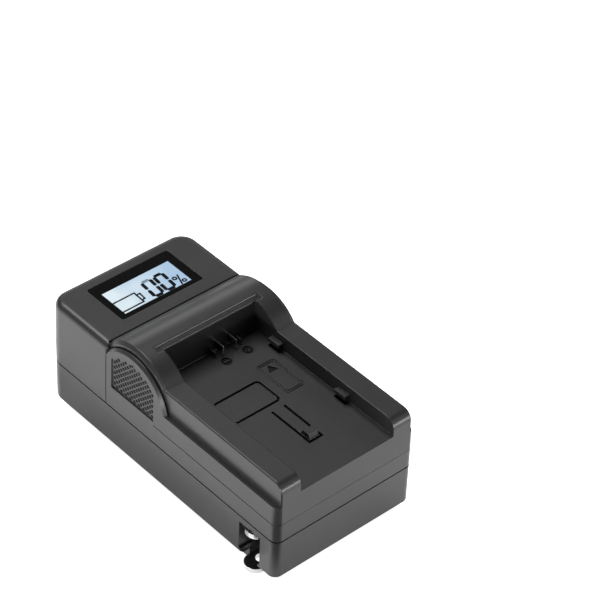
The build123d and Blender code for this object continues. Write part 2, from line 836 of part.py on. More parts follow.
with BuildPart() as transformer_bobbin:
    spool_z = core_base_z + core_leg
    spool_height = core_height - 2 * core_leg
    with BuildSketch(Plane.XY.offset(spool_z)):
        with Locations(transformer_place):
            Circle(bobbin_drum / 2)
    extrude(amount=spool_height)
    with BuildSketch(Plane.XY.offset(spool_z)):
        with Locations(transformer_place):
            Rectangle(bobbin_width, core_width - 2 * core_leg)
    extrude(amount=bobbin_flange)
    with BuildSketch(Plane.XY.offset(spool_z + spool_height - bobbin_flange)):
        with Locations(transformer_place):
            Rectangle(bobbin_width, core_width - 2 * core_leg)
    extrude(amount=bobbin_flange)
    with BuildSketch(Plane.XY.offset(board_top_z)):
        with Locations(transformer_place):
            with GridLocations(bobbin_width - core_leg, centre_leg, 2, 2):
                Rectangle(core_leg, core_leg)
    extrude(amount=spool_z - board_top_z)
    with BuildSketch(Plane.XY.offset(spool_z)):
        with Locations(transformer_place):
            Rectangle(core_depth, centre_leg)
    extrude(amount=spool_height, mode=Mode.SUBTRACT)
save(transformer_bobbin, "transformer_bobbin")


# Upright can with a bevelled rim
def can(diameter, height, place, rim=0.6):
    with BuildPart(mode=Mode.PRIVATE) as piece:
        Cylinder(diameter / 2, height, align=(Align.CENTER, Align.CENTER, Align.MIN))
        chamfer(piece.faces().sort_by(Axis.Z)[-1].edges(), rim)
    return Pos(place[0], place[1], board_top_z) * piece.part


bulk_can = (10.0, 17.0)
bulk_place = (0.2041 * case_width, -0.1235 * case_length)
with BuildPart() as bulk_capacitor:
    add(can(*bulk_can, bulk_place))
save(bulk_capacitor, "bulk_capacitor")

output_can = (8.0, 12.0)
output_place = (-0.2449 * case_width, 0.1646 * case_length)
with BuildPart() as output_capacitor:
    add(can(*output_can, output_place))
save(output_capacitor, "output_capacitor")

# Choke in a shrunk sleeve
choke_can = (8.0, 10.0)
choke_place = (0.2449 * case_width, -0.2305 * case_length)
with BuildPart() as line_choke:
    add(can(*choke_can, choke_place))
save(line_choke, "line_choke")

# Fuse resistor lying on two feet of lead
fuse_place = (0.3592 * case_width, -0.0823 * case_length)
fuse_diameter = 3.4
fuse_length = 8.0
lead_width = 0.8
lead_reach = 2.0
with BuildPart() as fuse_resistor:
    fuse_z = board_top_z + fuse_diameter / 2 + lead_width
    with BuildSketch(Plane.XZ.offset(-fuse_place[1])):
        with Locations((fuse_place[0], fuse_z)):
            Circle(fuse_diameter / 2)
    extrude(amount=fuse_length / 2, both=True)
    with BuildSketch(Plane.XZ.offset(-fuse_place[1])):
        with Locations((fuse_place[0], fuse_z)):
            Rectangle(lead_width, lead_width)
    extrude(amount=fuse_length / 2 + lead_reach, both=True)
    with BuildSketch(Plane.XY.offset(board_top_z)):
        with Locations(fuse_place):
            with GridLocations(1, fuse_length + 2 * lead_reach - lead_width, 1, 2):
                Rectangle(lead_width, lead_width)
    extrude(amount=fuse_z - board_top_z)
save(fuse_resistor, "fuse_resistor")


# Moulded block with bevelled top edges, standing on the board
def block(width, length, height, place, bevel=0.4):
    with BuildPart(mode=Mode.PRIVATE) as piece:
        Box(width, length, height, align=(Align.CENTER, Align.CENTER, Align.MIN))
        chamfer(piece.faces().sort_by(Axis.Z)[-1].edges(), bevel)
    return Pos(place[0], place[1], board_top_z) * piece.part


with BuildPart() as x_capacitor:
    add(block(*x_capacitor_size, x_capacitor_place))
save(x_capacitor, "x_capacitor")

with BuildPart() as bridge_rectifier:
    add(block(*bridge_size, bridge_place))
save(bridge_rectifier, "bridge_rectifier")

controller_size = (9.4, 6.4, 3.4)
controller_place = (0.2041 * case_width, 0.005144 * case_length)
with BuildPart() as controller_chip:
    add(block(*controller_size, controller_place))
save(controller_chip, "controller_chip")

charge_chip_size = (10.0, 4.0, 1.6)
charge_chip_place = (0.08163 * case_width, 0.2058 * case_length)
with BuildPart() as charge_chip:
    add(block(*charge_chip_size, charge_chip_place, bevel=0.3))
save(charge_chip, "charge_chip")

diode_size = (4.6, 7.0, 2.4)
diode_place = (0.2959 * case_width, 0.108 * case_length)
with BuildPart() as output_diode:
    add(block(*diode_size, diode_place))
save(output_diode, "output_diode")


# Battery contact: a blade through the back wall with a leg down to the main board
def contact(x):
    blade_base = bay_floor_z + contact_lift
    leg_rear = bay_back_y + wall + 2 * contact_tail
    with BuildPart(mode=Mode.PRIVATE) as piece:
        with BuildSketch(Plane.YZ.offset(x)):
            with BuildLine():
                Polyline(
                    (bay_back_y - contact_reach, blade_base),
                    (bay_back_y - contact_reach, blade_base + contact_height),
                    (leg_rear, blade_base + contact_height),
                    (leg_rear, board_top_z),
                    (leg_rear - contact_tail, board_top_z),
                    (leg_rear - contact_tail, blade_base),
                    close=True,
                )
            make_face()
        extrude(amount=contact_thickness / 2, both=True)
    return piece.part


for contact_name, contact_x in zip(("contact_negative", "contact_positive"), contact_places):
    with BuildPart() as battery_contact:
        add(contact(contact_x))
    save(battery_contact, contact_name)

# Plug rotor: a block with a round back, bored for the axle and slotted for the blades
with BuildPart() as plug_rotor:
    with BuildSketch(Plane.XZ.offset(-plug_y)) as rotor_profile:
        with Locations((pivot_x, pivot_z)):
            Circle(rotor_reach)
        with Locations((pivot_x - rotor_face / 2, pivot_z)):
            Rectangle(rotor_face, 2 * rotor_reach)
        fillet(rotor_profile.vertices().group_by(Axis.X)[0], rotor_corner)
    extrude(amount=rotor_width / 2, both=True)
    with BuildSketch(Plane.XZ.offset(-plug_y)):
        with Locations((pivot_x, pivot_z)):
            Circle(axle_diameter / 2 + axle_clearance)
    extrude(amount=rotor_width, both=True, mode=Mode.SUBTRACT)
    slot_depth = rotor_face - rotor_core
    with BuildSketch(Plane.XZ.offset(-plug_y)):
        with Locations((pivot_x - rotor_core - slot_depth / 2, pivot_z)):
            with GridLocations(1, blade_spacing, 1, 2):
                Rectangle(slot_depth, blade_thickness)
    extrude(amount=blade_width / 2, both=True, mode=Mode.SUBTRACT)
save(plug_rotor, "plug_rotor")


# Mains blade with a round tip and a hole near it
def blade(height):
    root_x = pivot_x - rotor_core
    tip_x = pivot_x - rotor_face - blade_length
    with BuildPart(mode=Mode.PRIVATE) as piece:
        with BuildSketch(Plane.XY.offset(height - blade_thickness / 2)):
            with Locations(((root_x + tip_x + blade_width / 2) / 2, plug_y)):
                Rectangle(root_x - tip_x - blade_width / 2, blade_width)
            with Locations((tip_x + blade_width / 2, plug_y)):
                Circle(blade_width / 2)
            with Locations((tip_x + blade_hole_from_tip, plug_y)):
                Circle(blade_hole / 2, mode=Mode.SUBTRACT)
        extrude(amount=blade_thickness)
    return piece.part


for blade_name, blade_side in (("lower_blade", -1), ("upper_blade", 1)):
    with BuildPart() as plug_blade:
        add(blade(pivot_z + blade_side * blade_spacing / 2))
    save(plug_blade, blade_name)

with BuildPart() as plug_axle:
    with BuildSketch(Plane.XZ.offset(-plug_y)):
        with Locations((pivot_x, pivot_z)):
            Circle(axle_diameter / 2)
    extrude(amount=well_outer / 2, both=True)
save(plug_axle, "plug_axle")


# Leaf spring on the well's rear wall, with a button through the wall and a foot on the board
def plug_spring(x):
    with BuildPart(mode=Mode.PRIVATE) as piece:
        with BuildSketch(Plane.YZ.offset(x)):
            with Locations((well_rear_y + spring_thickness / 2, board_top_z + spring_height / 2)):
                Rectangle(spring_thickness, spring_height)
            with Locations((well_rear_y + spring_foot / 2, board_top_z + spring_thickness / 2)):
                Rectangle(spring_foot, spring_thickness)
        extrude(amount=spring_width / 2, both=True)
        with BuildSketch(Plane.XZ.offset(-well_rear_y)):
            with Locations((x, board_top_z + spring_height / 2)):
                Rectangle(spring_button, spring_button)
        extrude(amount=well_wall)
    return piece.part


spring_sides = (("line_contact_spring", -1), ("neutral_contact_spring", 1))
for spring_name, spring_side in spring_sides:
    with BuildPart() as contact_spring:
        add(plug_spring(pivot_x + spring_side * spring_offset))
    save(contact_spring, spring_name)

# Four screws from below, each with a cross recess in its head
with BuildPart() as case_screws:
    head_z = screw_recess - screw_head_height
    screw_places = (*front_screws, *rear_screws)
    with BuildSketch(Plane.XY.offset(head_z)):
        with Locations(*screw_places):
            Circle(screw_head / 2)
    extrude(amount=screw_head_height)
    with BuildSketch(Plane.XY.offset(screw_recess)):
        with Locations(*screw_places):
            Circle(screw_shank / 2)
    extrude(amount=screw_length)
    with BuildSketch(Plane.XY.offset(head_z)):
        with Locations(*screw_places):
            Rectangle(screw_head / 2, screw_head / 8)
            Rectangle(screw_head / 8, screw_head / 2)
    extrude(amount=screw_drive, mode=Mode.SUBTRACT)
save(case_screws, "case_screws")
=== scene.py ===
from math import atan2, cos, hypot, pi, radians, sin

import bpy
from mathutils import Matrix, Vector


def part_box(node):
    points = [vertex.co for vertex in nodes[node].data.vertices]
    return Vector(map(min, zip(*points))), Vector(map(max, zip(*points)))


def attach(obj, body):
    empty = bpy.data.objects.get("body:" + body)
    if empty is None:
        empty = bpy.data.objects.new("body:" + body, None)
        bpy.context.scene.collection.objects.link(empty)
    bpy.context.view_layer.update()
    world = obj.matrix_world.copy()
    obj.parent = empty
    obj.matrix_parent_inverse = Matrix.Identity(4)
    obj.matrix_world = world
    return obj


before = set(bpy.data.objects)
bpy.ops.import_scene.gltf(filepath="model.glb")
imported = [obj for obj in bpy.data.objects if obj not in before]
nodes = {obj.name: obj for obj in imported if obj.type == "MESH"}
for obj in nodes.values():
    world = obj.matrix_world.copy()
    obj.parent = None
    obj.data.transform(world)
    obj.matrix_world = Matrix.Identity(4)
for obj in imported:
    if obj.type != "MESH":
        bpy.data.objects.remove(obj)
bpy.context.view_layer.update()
mm = 0.001
print("frame loaded:", len(nodes), "nodes")


def linear(hexText):  # sRGB hex to the linear colour that sockets take
    channels = [int(hexText[i:i + 2], 16) / 255 for i in (1, 3, 5)]
    return [c / 12.92 if c <= 0.04045 else ((c + 0.055) / 1.055) ** 2.4 for c in channels] + [1.0]


def addNode(tree, kind, links=None, **settings):
    node = tree.nodes.new(kind)
    for key, value in settings.items():
        setattr(node, key, value)
    for socket, value in (links or {}).items():
        if isinstance(value, bpy.types.NodeSocket):
            tree.links.new(value, node.inputs[socket])
        else:
            node.inputs[socket].default_value = value
    return node


def startFinish(name):  # a new material with its shader wired to the output
    finish = bpy.data.materials.new(name)
    finish.use_nodes = True
    tree = finish.node_tree
    tree.nodes.clear()
    shader = addNode(tree, "ShaderNodeBsdfPrincipled")
    addNode(tree, "ShaderNodeOutputMaterial", {"Surface": shader.outputs["BSDF"]})
    place = addNode(tree, "ShaderNodeTexCoord").outputs["Object"]
    return finish, tree, shader, place


def perMetre(sizeMm):  # texture scale for a pattern of that size
    return 1.0 / (sizeMm * mm)


# camera, solved from the photograph's edges: angles in degrees, lens and eye in millimetres
photoCamera = {
    "azimuth": -43.18,
    "elevation": 39.85,
    "roll": 2.79,
    "lens": 159.47,
    "sensor": 36.0,
    "eye": (-357.07, -407.72, 510.01),
}


def placeCamera(view):
    azimuth, elevation, roll = (radians(view[key]) for key in ("azimuth", "elevation", "roll"))
    back = Vector((sin(azimuth) * cos(elevation), -cos(azimuth) * cos(elevation), sin(elevation)))
    right = Vector((cos(azimuth), sin(azimuth), 0.0))
    up = back.cross(right)
    across = right * cos(roll) + up * sin(roll)
    upward = up * cos(roll) - right * sin(roll)
    data = bpy.data.cameras.new("photo_camera")
    data.lens = view["lens"]
    data.sensor_width = view["sensor"]
    camera = bpy.data.objects.new("photo_camera", data)
    turn = Matrix((across, upward, back)).transposed().to_4x4()
    camera.matrix_world = Matrix.Translation(Vector(view["eye"]) * mm) @ turn
    bpy.context.scene.collection.objects.link(camera)
    bpy.context.scene.camera = camera


placeCamera(photoCamera)
print("camera placed")

# studio, as small products are shot: a luminous white table, five soft boxes, three cards and a dim room
studio = {
    "roomColour": "#ffffff",
    "roomFill": 0.055,
    "roomSeen": 1.0,
    # name, place and size in metres, power in watts, whether it lights matt surfaces too
    "boxes": (
        ("overhead_box", (0.0, 0.42, 1.1), (0.7, 0.7), 12.2, True),
        ("left_box", (-1.1, -0.3, 0.025), (1.2, 0.05), 7.0, True),
        ("rear_box", (0.8, 1.19, 0.58), (0.8, 0.4), 1.9, False),
        ("front_box", (0.6, -1.0, 0.08), (1.2, 0.16), 8.0, False),
        ("glint_box", (0.7, -0.85, 0.72), (0.6, 0.6), 0.8, False),
    ),
    "aim": (0.0, 0.0, 0.02),
}

# opal acrylic table lit from below: cast sheet, evenly white, with no gloss to speak of
opalTable = {
    "half": 3.0,
    "gap": 0.1,
    "colour": "#f2f2f2",
    "cloud": "#fafafa",
    "cloudSize": 40.0,
    "detail": 2.0,
    "rough": 0.8,
    "glowColour": "#ffffff",
    "glow": 0.72,
    "seenLift": 0.25,
}

# uncoated paper cards laid on the table: matt, and seen only in reflections
paperCards = {
    "rough": 0.9,
    # black before the near corner, dull white along the left side, grey beyond the right ear:
    # name, colour, place and size in millimetres, turn in degrees
    "cards": (
        ("corner_card", "#050505", (-58.0, -85.0, 0.4), (46.0, 84.0), -43.0),
        ("side_card", "#f2f2f2", (-31.5, 14.0, 0.2), (11.0, 100.0), 0.0),
        ("far_card", "#404040", (190.0, 135.0, 0.2), (260.0, 220.0), 0.0),
    ),
}


def lightStudio(setup):
    scene = bpy.context.scene
    scene.view_settings.view_transform = "Standard"
    world = bpy.data.worlds.new("dim_room")
    scene.world = world
    world.use_nodes = True
    tree = world.node_tree
    tree.nodes.clear()
    rays = addNode(tree, "ShaderNodeLightPath")
    colour = linear(setup["roomColour"])
    fill = addNode(tree, "ShaderNodeBackground", {"Color": colour, "Strength": setup["roomFill"]})
    seen = addNode(tree, "ShaderNodeBackground", {"Color": colour, "Strength": setup["roomSeen"]})
    direct = addNode(tree, "ShaderNodeMath", {0: rays.outputs["Is Camera Ray"],
                                              1: rays.outputs["Is Transmission Ray"]}, operation="MAXIMUM")
    mixed = addNode(tree, "ShaderNodeMixShader", {0: direct.outputs[0], 1: fill.outputs[0],
                                                  2: seen.outputs[0]})
    addNode(tree, "ShaderNodeOutputWorld", {"Surface": mixed.outputs[0]})

    for name, place, size, power, lightsMatt in setup["boxes"]:
        data = bpy.data.lights.new(name, "AREA")
        data.shape = "RECTANGLE"
        data.size, data.size_y = size
        data.energy = power
        lamp = bpy.data.objects.new(name, data)
        lamp.location = place
        lamp.visible_diffuse = lightsMatt
        lamp.rotation_euler = (Vector(setup["aim"]) - Vector(place)).to_track_quat("-Z", "Y").to_euler()
        scene.collection.objects.link(lamp)


def layTable(look):
    finish, tree, shader, place = startFinish("opal_acrylic_table")
    cloud = addNode(tree, "ShaderNodeTexNoise", {"Vector": place, "Scale": perMetre(look["cloudSize"]),
                                                 "Detail": look["detail"]})
    tone = addNode(tree, "ShaderNodeMix", {"Factor": cloud.outputs["Fac"], 6: linear(look["colour"]),
                                           7: linear(look["cloud"])}, data_type="RGBA")
    tree.links.new(tone.outputs[2], shader.inputs["Base Color"])
    shader.inputs["Roughness"].default_value = look["rough"]
    shader.inputs["Emission Color"].default_value = linear(look["glowColour"])
    rays = addNode(tree, "ShaderNodeLightPath")
    glow = addNode(tree, "ShaderNodeMath", {0: rays.outputs["Is Camera Ray"], 1: look["seenLift"],
                                            2: look["glow"]}, operation="MULTIPLY_ADD")
    tree.links.new(glow.outputs[0], shader.inputs["Emission Strength"])
    # clear from below, so that the underside can be looked at
    below = addNode(tree, "ShaderNodeBsdfTransparent")
    face = addNode(tree, "ShaderNodeNewGeometry")
    sided = addNode(tree, "ShaderNodeMixShader", {0: face.outputs["Backfacing"], 1: shader.outputs[0],
                                                  2: below.outputs[0]})
    tree.links.new(sided.outputs[0], tree.nodes["Material Output"].inputs["Surface"])
    bpy.ops.object.select_all(action="DESELECT")
    bpy.ops.mesh.primitive_plane_add(size=2 * look["half"], location=(0, 0, -look["gap"] * mm))
    floor = bpy.context.active_object
    floor.name = "floor_sweep"
    floor.data.materials.append(finish)


def layCards(look):
    for name, colour, place, size, turn in look["cards"]:
        finish, _, shader, _ = startFinish(name + "_paper")
        shader.inputs["Base Color"].default_value = linear(colour)
        shader.inputs["Roughness"].default_value = look["rough"]
        bpy.ops.object.select_all(action="DESELECT")
        bpy.ops.mesh.primitive_plane_add(size=1.0, location=[v * mm for v in place],
                                         rotation=(0, 0, radians(turn)))
        card = bpy.context.active_object
        card.name = name
        card.scale = (size[0] * mm, size[1] * mm, 1.0)
        card.visible_camera = False
        card.visible_shadow = False
        card.data.materials.append(finish)


lightStudio(studio)
layTable(opalTable)
layCards(paperCards)
print("studio lit")


def dress(finish, *names):  # a CAD node keeps its mesh and gets one finish
    for name in names:
        nodes[name].data.materials.clear()
        nodes[name].data.materials.append(finish)


# ABS, injection moulded black in a finely sparked tool: an even satin sheen, grain at the limit of sight.
# The real grain is about 0.1 mm and is drawn coarser, to show at all
mouldedAbs = {"dark": "#303030", "light": "#373737", "grain": 0.45, "drift": 14.0, "depth": 0.03,
              "smooth": 0.295, "rough": 0.325, "rim": 0.35}
# ABS again, moulded in a tool polished by stone for the rotor: darker, with a fainter grain and a duller sheen
rotorAbs = {"dark": "#1d1d1e", "light": "#262627", "grain": 0.6, "drift": 8.0, "depth": 0.015,
            "smooth": 0.3, "rough": 0.42, "rim": 0.1}
# what both share: where the noise turns into tone and sheen, and edges that are rounder at the wall tops
mouldShared = {
    "ior": 1.53,
    "grainDetail": 3.0,
    "driftDetail": 2.0,
    "toneRange": (0.1, 0.4),
    "grainRange": (0.3, 0.7),
    "bump": 0.1,
    "edge": 0.1,
    "edgeRays": 6,
    "rimFrom": 36.8,
    "rimTo": 37.4,
}


def makeMouldedAbs(name, look, shared):
    finish, tree, shader, place = startFinish(name)
    grain = addNode(tree, "ShaderNodeTexNoise", {"Vector": place, "Scale": perMetre(look["grain"]),
                                                 "Detail": shared["grainDetail"]})
    drift = addNode(tree, "ShaderNodeTexNoise", {"Vector": place, "Scale": perMetre(look["drift"]),
                                                 "Detail": shared["driftDetail"]})
    both = addNode(tree, "ShaderNodeMath", {0: grain.outputs["Fac"], 1: drift.outputs["Fac"]},
                   operation="MULTIPLY")
    tone = addNode(tree, "ShaderNodeMapRange", {"Value": both.outputs[0], "From Min": shared["toneRange"][0],
                                                "From Max": shared["toneRange"][1]})
    colour = addNode(tree, "ShaderNodeMix", {"Factor": tone.outputs[0], 6: linear(look["dark"]),
                                             7: linear(look["light"])}, data_type="RGBA")
    rough = addNode(tree, "ShaderNodeMapRange", {"Value": grain.outputs["Fac"],
                                                 "From Min": shared["grainRange"][0],
                                                 "From Max": shared["grainRange"][1],
                                                 "To Min": look["smooth"], "To Max": look["rough"]})
    height = addNode(tree, "ShaderNodeSeparateXYZ", {"Vector": place})
    radius = addNode(tree, "ShaderNodeMapRange", {"Value": height.outputs[2],
                                                  "From Min": shared["rimFrom"] * mm,
                                                  "From Max": shared["rimTo"] * mm,
                                                  "To Min": shared["edge"] * mm, "To Max": look["rim"] * mm})
    edges = addNode(tree, "ShaderNodeBevel", {"Radius": radius.outputs[0]}, samples=shared["edgeRays"])
    bump = addNode(tree, "ShaderNodeBump", {"Height": grain.outputs["Fac"], "Strength": shared["bump"],
                                            "Distance": look["depth"] * mm, "Normal": edges.outputs[0]})
    tree.links.new(colour.outputs[2], shader.inputs["Base Color"])
    tree.links.new(rough.outputs[0], shader.inputs["Roughness"])
    tree.links.new(bump.outputs[0], shader.inputs["Normal"])
    shader.inputs["IOR"].default_value = shared["ior"]
    return finish


sparkBlack = makeMouldedAbs("abs_spark_black", mouldedAbs, mouldShared)
dress(sparkBlack, "lower_case", "bay_housing", "display_housing")
dress(makeMouldedAbs("abs_tool_polished", rotorAbs, mouldShared), "plug_rotor")
print("mouldings finished")

# nickel plate on stamped brass: bright, faint rolling lines along the strip, thin handling scuffs.
# The lines are drawn coarser than real ones, to show at all
nickelPlate = {
    "colour": "#dcdcda",
    "shade": "#c4c4c2",
    "lines": 0.25,
    "stretch": (0.06, 1.0, 1.0),
    "lineDetail": 2.0,
    "lineRange": (0.3, 0.7),
    "scuff": 3.0,
    "scuffDetail": 4.0,
    "smooth": 0.1,
    "rough": 0.18,
    "edge": 0.15,
    "edgeRays": 6,
    "bump": 0.1,
    "depth": 0.005,
}


def makeNickelPlate(look):
    finish, tree, shader, place = startFinish("nickel_plated_brass")
    stretched = addNode(tree, "ShaderNodeMapping", {"Vector": place, "Scale": look["stretch"]})
    lines = addNode(tree, "ShaderNodeTexNoise", {"Vector": stretched.outputs[0],
                                                 "Scale": perMetre(look["lines"]),
                                                 "Detail": look["lineDetail"]})
    scuff = addNode(tree, "ShaderNodeTexNoise", {"Vector": place, "Scale": perMetre(look["scuff"]),
                                                 "Detail": look["scuffDetail"]})
    colour = addNode(tree, "ShaderNodeMix", {"Factor": scuff.outputs["Fac"], 6: linear(look["colour"]),
                                             7: linear(look["shade"])}, data_type="RGBA")
    rough = addNode(tree, "ShaderNodeMapRange", {"Value": lines.outputs["Fac"],
                                                 "From Min": look["lineRange"][0],
                                                 "From Max": look["lineRange"][1],
                                                 "To Min": look["smooth"], "To Max": look["rough"]})
    edges = addNode(tree, "ShaderNodeBevel", {"Radius": look["edge"] * mm}, samples=look["edgeRays"])
    bump = addNode(tree, "ShaderNodeBump", {"Height": lines.outputs["Fac"], "Strength": look["bump"],
                                            "Distance": look["depth"] * mm, "Normal": edges.outputs[0]})
    tree.links.new(colour.outputs[2], shader.inputs["Base Color"])
    tree.links.new(rough.outputs[0], shader.inputs["Roughness"])
    tree.links.new(bump.outputs[0], shader.inputs["Normal"])
    shader.inputs["Metallic"].default_value = 1.0
    return finish


dress(makeNickelPlate(nickelPlate), "upper_blade", "lower_blade", "contact_negative", "contact_positive",
      "line_contact_spring", "neutral_contact_spring")

# zinc plated steel, barrel plated: cooler grey than nickel, cloudy
zincSteel = {"colour": "#b8bcc0", "cloud": "#8f9499", "size": 1.2, "detail": 5.0,
             "smooth": 0.22, "rough": 0.5}


def makeZincSteel(look):
    finish, tree, shader, place = startFinish("zinc_plated_steel")
    cloud = addNode(tree, "ShaderNodeTexNoise", {"Vector": place, "Scale": perMetre(look["size"]),
                                                 "Detail": look["detail"]})
    colour = addNode(tree, "ShaderNodeMix", {"Factor": cloud.outputs["Fac"], 6: linear(look["colour"]),
                                             7: linear(look["cloud"])}, data_type="RGBA")
    rough = addNode(tree, "ShaderNodeMapRange", {"Value": cloud.outputs["Fac"], "To Min": look["smooth"],
                                                 "To Max": look["rough"]})
    tree.links.new(colour.outputs[2], shader.inputs["Base Color"])
    tree.links.new(rough.outputs[0], shader.inputs["Roughness"])
    shader.inputs["Metallic"].default_value = 1.0
    return finish


dress(makeZincSteel(zincSteel), "case_screws", "plug_axle")
print("metals finished")

# display window: polished acrylic with a black printed border, the lit display showing in its middle
displayWindow = {
    "border": "#060707",
    "unlit": "#000000",
    "pale": "#dae7ee",
    "blue": "#a8c4dd",
    "low": (-12.1, 29.4),
    "high": (11.35, 39.9),
    "blur": 0.06,
    "patch": 7.0,
    "patchDetail": 1.0,
    "driftRange": (0.5, 1.35),
    "glow": 0.24,
    "rough": 0.16,
    "ior": 1.49,
}


def makeDisplayWindow(look):
    finish, tree, shader, place = startFinish("acrylic_window_printed")
    split = addNode(tree, "ShaderNodeSeparateXYZ", {"Vector": place})
    inside = None
    for axis in (0, 1):
        middle = (look["low"][axis] + look["high"][axis]) / 2 * mm
        half = (look["high"][axis] - look["low"][axis]) / 2 * mm
        offset = addNode(tree, "ShaderNodeMath", {0: split.outputs[axis], 1: middle}, operation="SUBTRACT")
        distance = addNode(tree, "ShaderNodeMath", {0: offset.outputs[0]}, operation="ABSOLUTE")
        edge = addNode(tree, "ShaderNodeMapRange", {"Value": distance.outputs[0],
                                                    "From Min": half - look["blur"] * mm,
                                                    "From Max": half + look["blur"] * mm,
                                                    "To Min": 1.0, "To Max": 0.0})
        inside = edge if inside is None else addNode(
            tree, "ShaderNodeMath", {0: inside.outputs[0], 1: edge.outputs[0]}, operation="MULTIPLY")
    along = addNode(tree, "ShaderNodeMapRange", {"Value": split.outputs[0], "From Min": look["low"][0] * mm,
                                                 "From Max": look["high"][0] * mm})
    cloud = addNode(tree, "ShaderNodeTexNoise", {"Vector": place, "Scale": perMetre(look["patch"]),
                                                 "Detail": look["patchDetail"]})
    mixed = addNode(tree, "ShaderNodeMath", {0: along.outputs[0], 1: cloud.outputs["Fac"]}, operation="ADD")
    drift = addNode(tree, "ShaderNodeMapRange", {"Value": mixed.outputs[0], "From Min": look["driftRange"][0],
                                                 "From Max": look["driftRange"][1]})
    glow = addNode(tree, "ShaderNodeMix", {"Factor": drift.outputs[0], 6: linear(look["pale"]),
                                           7: linear(look["blue"])}, data_type="RGBA")
    colour = addNode(tree, "ShaderNodeMix", {"Factor": inside.outputs[0], 6: linear(look["border"]),
                                             7: glow.outputs[2]}, data_type="RGBA")
    light = addNode(tree, "ShaderNodeMix", {"Factor": inside.outputs[0], 6: linear(look["unlit"]),
                                            7: glow.outputs[2]}, data_type="RGBA")
    tree.links.new(colour.outputs[2], shader.inputs["Base Color"])
    tree.links.new(light.outputs[2], shader.inputs["Emission Color"])
    shader.inputs["Emission Strength"].default_value = look["glow"]
    shader.inputs["Roughness"].default_value = look["rough"]
    shader.inputs["IOR"].default_value = look["ior"]
    return finish


dress(makeDisplayWindow(displayWindow), "display_window")
print("display finished")

# inner pieces, each a plain finish with its own grain, drawn coarser than real so that it can show
innerLooks = {
    # liquid crystal glass under a pale grey green polariser: smooth
    "polarised_glass": {"nodes": ("lcd_panel",), "dark": "#8f9a94", "light": "#a3ada6",
                        "grain": 2.0, "rough": 0.15},
    # moulded acrylic light guide, frosted: milky
    "frosted_acrylic": {"nodes": ("lcd_backlight",), "dark": "#dfe7ee", "light": "#f1f5f8",
                        "grain": 1.0, "rough": 0.55},
    # epoxy glass laminate under green solder resist: even, half glossy
    "solder_resist_laminate": {"nodes": ("main_board", "display_board"), "dark": "#14402a",
                               "light": "#1e5a3a", "grain": 0.8, "rough": 0.35},
    # pressed and sintered ferrite: matt charcoal with fine pores
    "sintered_ferrite": {"nodes": ("transformer_core",), "dark": "#2b2b2d", "light": "#3d3d40",
                         "grain": 0.5, "rough": 0.8},
    # polyester tape wound over the coil: amber, glossy
    "polyester_tape": {"nodes": ("transformer_bobbin",), "dark": "#b9851c", "light": "#d6a334",
                       "grain": 1.5, "rough": 0.32},
    # vinyl sleeve shrunk on the cans and the choke: dark, glossy
    "vinyl_sleeve": {"nodes": ("bulk_capacitor", "output_capacitor", "line_choke"), "dark": "#14161c",
                     "light": "#20242e", "grain": 1.2, "rough": 0.3},
    # glazed ceramic body: pale green grey
    "glazed_ceramic": {"nodes": ("fuse_resistor",), "dark": "#b9c3b4", "light": "#d3dacd",
                       "grain": 0.9, "rough": 0.4},
    # moulded polybutylene box: yellow, satin
    "polybutylene_box": {"nodes": ("x_capacitor",), "dark": "#c79f1f", "light": "#dcb434",
                         "grain": 0.7, "rough": 0.5},
    # moulded epoxy with silica: black, matt
    "filled_epoxy": {"nodes": ("bridge_rectifier", "controller_chip", "charge_chip", "output_diode"),
                     "dark": "#17181a", "light": "#232427", "grain": 0.3, "rough": 0.62},
}
innerShared = {"detail": 4.0, "smoothPart": 0.8, "roughPart": 1.2, "bump": 0.2, "depth": 0.02}


def makeInnerFinish(name, look, shared):
    finish, tree, shader, place = startFinish(name)
    grain = addNode(tree, "ShaderNodeTexNoise", {"Vector": place, "Scale": perMetre(look["grain"]),
                                                 "Detail": shared["detail"]})
    colour = addNode(tree, "ShaderNodeMix", {"Factor": grain.outputs["Fac"], 6: linear(look["dark"]),
                                             7: linear(look["light"])}, data_type="RGBA")
    rough = addNode(tree, "ShaderNodeMapRange", {"Value": grain.outputs["Fac"],
                                                 "To Min": look["rough"] * shared["smoothPart"],
                                                 "To Max": look["rough"] * shared["roughPart"]})
    bump = addNode(tree, "ShaderNodeBump", {"Height": grain.outputs["Fac"], "Strength": shared["bump"],
                                            "Distance": shared["depth"] * mm})
    tree.links.new(colour.outputs[2], shader.inputs["Base Color"])
    tree.links.new(rough.outputs[0], shader.inputs["Roughness"])
    tree.links.new(bump.outputs[0], shader.inputs["Normal"])
    return finish


for name, look in innerLooks.items():
    dress(makeInnerFinish(name, look, innerShared), *look["nodes"])

# flat cable: tinned copper tracks laminated between white polyester, a stripe every millimetre.
# A wave texture runs through waveTurn radians per unit at scale 1
flatCable = {"sheath": "#d9d9d4", "track": "#9a8f84", "pitch": 1.0, "waveTurn": 20.0,
             "trackRange": (0.55, 0.65), "rough": 0.4}


def makeFlatCable(look):
    finish, tree, shader, place = startFinish("flat_cable_tinned")
    scale = perMetre(look["pitch"]) * 2 * pi / look["waveTurn"]
    stripes = addNode(tree, "ShaderNodeTexWave", {"Vector": place, "Scale": scale}, bands_direction="X")
    sharp = addNode(tree, "ShaderNodeMapRange", {"Value": stripes.outputs["Fac"],
                                                 "From Min": look["trackRange"][0],
                                                 "From Max": look["trackRange"][1]})
    colour = addNode(tree, "ShaderNodeMix", {"Factor": sharp.outputs[0], 6: linear(look["sheath"]),
                                             7: linear(look["track"])}, data_type="RGBA")
    tree.links.new(colour.outputs[2], shader.inputs["Base Color"])
    shader.inputs["Roughness"].default_value = look["rough"]
    return finish


dress(makeFlatCable(flatCable), "display_ribbon")
print("inner pieces finished")

